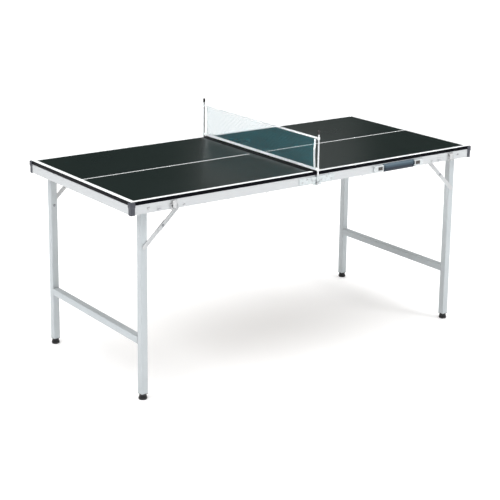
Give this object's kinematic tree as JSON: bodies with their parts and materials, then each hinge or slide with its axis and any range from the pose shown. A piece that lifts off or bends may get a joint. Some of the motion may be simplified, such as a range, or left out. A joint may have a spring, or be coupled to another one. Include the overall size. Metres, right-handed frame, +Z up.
{
  "type": "ping pong table",
  "caption": "Compact folding table tennis table with hinged halves, folding braced leg frames, clip-in net, draw latches and a carry handle.",
  "frame": {"origin": "on the floor under the middle of the table", "axes": "+Z up, +X along the length towards the half with the carry handle, -Y towards the side with the handle and latches"},
  "size_m": [1.508, 0.712, 0.838],
  "materials": {
    "playing_board": "smooth dark green-black satin lacquer on fibreboard",
    "edge_band": "black extruded plastic with a soft sheen",
    "rail_aluminium": "light silver anodised aluminium, fine draw lines",
    "corner_plastic": "dark grey moulded plastic, fine texture",
    "hinge_steel": "zinc plated pressed steel",
    "fastener_steel": "zinc plated screws and rivets",
    "leg_tube": "light grey powder coated square tube",
    "foot_plastic": "black moulded plastic",
    "brace_steel": "light grey coated steel strip",
    "net_mesh": "fine teal netting",
    "net_tape": "white woven tape",
    "post_steel": "bright plated steel rod",
    "post_cap_plastic": "black plastic end cap",
    "handle_cap": "bright plated pressed end cap",
    "handle_grip": "slate grey soft plastic grip",
    "latch_steel": "bright plated draw latch",
    "catch_steel": "zinc plated pressed steel catch"
  },
  "bodies": {
    "left_table": {"left_board": "playing_board", "left_edge_band": "edge_band", "left_front_rail": "rail_aluminium", "left_back_rail": "rail_aluminium", "left_end_rail": "rail_aluminium", "left_centre_rail": "rail_aluminium", "left_corner_caps": "corner_plastic", "left_rail_screws": "fastener_steel", "left_hinge_leaves": "hinge_steel", "left_hinge_rivets": "fastener_steel", "left_pivot_bolts": "fastener_steel", "left_pivot_spacers": "hinge_steel", "left_latch_base": "latch_steel", "left_latch_catch": "catch_steel", "hinge_pins": "fastener_steel", "net_sockets": "hinge_steel"},
    "right_table": {"right_board": "playing_board", "right_edge_band": "edge_band", "right_front_rail": "rail_aluminium", "right_back_rail": "rail_aluminium", "right_end_rail": "rail_aluminium", "right_centre_rail": "rail_aluminium", "right_corner_caps": "corner_plastic", "right_rail_screws": "fastener_steel", "right_hinge_leaves": "hinge_steel", "right_hinge_rivets": "fastener_steel", "right_pivot_bolts": "fastener_steel", "right_pivot_spacers": "hinge_steel", "right_latch_base": "latch_steel", "right_latch_catch": "catch_steel", "handle_end_caps": "handle_cap"},
    "left_legs": {"left_front_leg": "leg_tube", "left_back_leg": "leg_tube", "left_crossbar": "leg_tube", "left_feet": "foot_plastic", "left_brace_studs": "fastener_steel"},
    "left_upper_links": {"left_upper_braces": "brace_steel", "left_knee_rivets": "fastener_steel"},
    "left_lower_links": {"left_lower_braces": "brace_steel"},
    "left_lever": {"left_latch_lever": "latch_steel"},
    "left_loop": {"left_latch_loop": "latch_steel"},
    "right_legs": {"right_front_leg": "leg_tube", "right_back_leg": "leg_tube", "right_crossbar": "leg_tube", "right_feet": "foot_plastic", "right_brace_studs": "fastener_steel"},
    "right_upper_links": {"right_upper_braces": "brace_steel", "right_knee_rivets": "fastener_steel"},
    "right_lower_links": {"right_lower_braces": "brace_steel"},
    "right_lever": {"right_latch_lever": "latch_steel"},
    "right_loop": {"right_latch_loop": "latch_steel"},
    "net_set": {"net_mesh": "net_mesh", "net_top_tape": "net_tape", "net_bottom_tape": "net_tape", "net_side_tapes": "net_tape", "net_posts": "post_steel", "net_post_caps": "post_cap_plastic"},
    "grip_left": {"grip_left_half": "handle_grip"},
    "grip_right": {"grip_right_half": "handle_grip"}
  },
  "joints": [
    {"name": "table_fold", "type": "hinge", "parent": "left_table", "child": "right_table", "pos_m": [0, 0, 0.647], "axis": [0, 1, 0], "range_deg": [0, 90]},
    {"name": "left_legs_fold", "type": "hinge", "parent": "left_table", "child": "left_legs", "pos_m": [-0.686, 0, 0.662], "axis": [0, -1, 0], "range_deg": [0, 90]},
    {"name": "left_upper_brace_turn", "type": "hinge", "parent": "left_table", "child": "left_upper_links", "pos_m": [-0.55, 0, 0.654], "axis": [0, 1, 0], "range_deg": [0, 45.77]},
    {"name": "left_lower_brace_turn", "type": "hinge", "parent": "left_legs", "child": "left_lower_links", "pos_m": [-0.686, 0, 0.526], "axis": [0, -1, 0], "range_deg": [0, 49.24]},
    {"name": "right_legs_fold", "type": "hinge", "parent": "right_table", "child": "right_legs", "pos_m": [0.686, 0, 0.662], "axis": [0, 1, 0], "range_deg": [0, 90]},
    {"name": "right_upper_brace_turn", "type": "hinge", "parent": "right_table", "child": "right_upper_links", "pos_m": [0.55, 0, 0.654], "axis": [0, -1, 0], "range_deg": [0, 45.77]},
    {"name": "right_lower_brace_turn", "type": "hinge", "parent": "right_legs", "child": "right_lower_links", "pos_m": [0.686, 0, 0.526], "axis": [0, 1, 0], "range_deg": [0, 49.24]},
    {"name": "net_lift", "type": "slide", "parent": "left_table", "child": "net_set", "axis": [0, 0, 1], "range_m": [0, 0.02]},
    {"name": "grip_bow", "type": "hinge", "parent": "right_table", "child": "grip_left", "pos_m": [0.3005, -0.3495, 0.663], "axis": [0, 0, -1], "range_deg": [0, 12]},
    {"name": "grip_flex", "type": "hinge", "parent": "grip_left", "child": "grip_right", "pos_m": [0.38, -0.346, 0.663], "axis": [0, 0, 1], "range_deg": [0, 24.1]},
    {"name": "left_latch_open", "type": "hinge", "parent": "left_table", "child": "left_lever", "pos_m": [-0.59, -0.3495, 0.673], "axis": [-1, 0, 0], "range_deg": [0, 150]},
    {"name": "left_loop_swing", "type": "hinge", "parent": "left_lever", "child": "left_loop", "pos_m": [-0.59, -0.3495, 0.6645], "axis": [1, 0, 0], "range_deg": [0, 150.1]},
    {"name": "right_latch_open", "type": "hinge", "parent": "right_table", "child": "right_lever", "pos_m": [0.645, -0.3495, 0.673], "axis": [-1, 0, 0], "range_deg": [0, 150]},
    {"name": "right_loop_swing", "type": "hinge", "parent": "right_lever", "child": "right_loop", "pos_m": [0.645, -0.3495, 0.6645], "axis": [1, 0, 0], "range_deg": [0, 150.1]}
  ],
  "couplings": [
    {"joint": "left_upper_brace_turn", "follows": "left_legs_fold", "ratio": 0.50799},
    {"joint": "left_lower_brace_turn", "follows": "left_legs_fold", "ratio": 0.54656},
    {"joint": "right_upper_brace_turn", "follows": "right_legs_fold", "ratio": 0.50799},
    {"joint": "right_lower_brace_turn", "follows": "right_legs_fold", "ratio": 0.54656},
    {"joint": "grip_flex", "follows": "grip_bow", "ratio": 2},
    {"joint": "left_loop_swing", "follows": "left_latch_open", "ratio": 1},
    {"joint": "right_loop_swing", "follows": "right_latch_open", "ratio": 1}
  ]
}
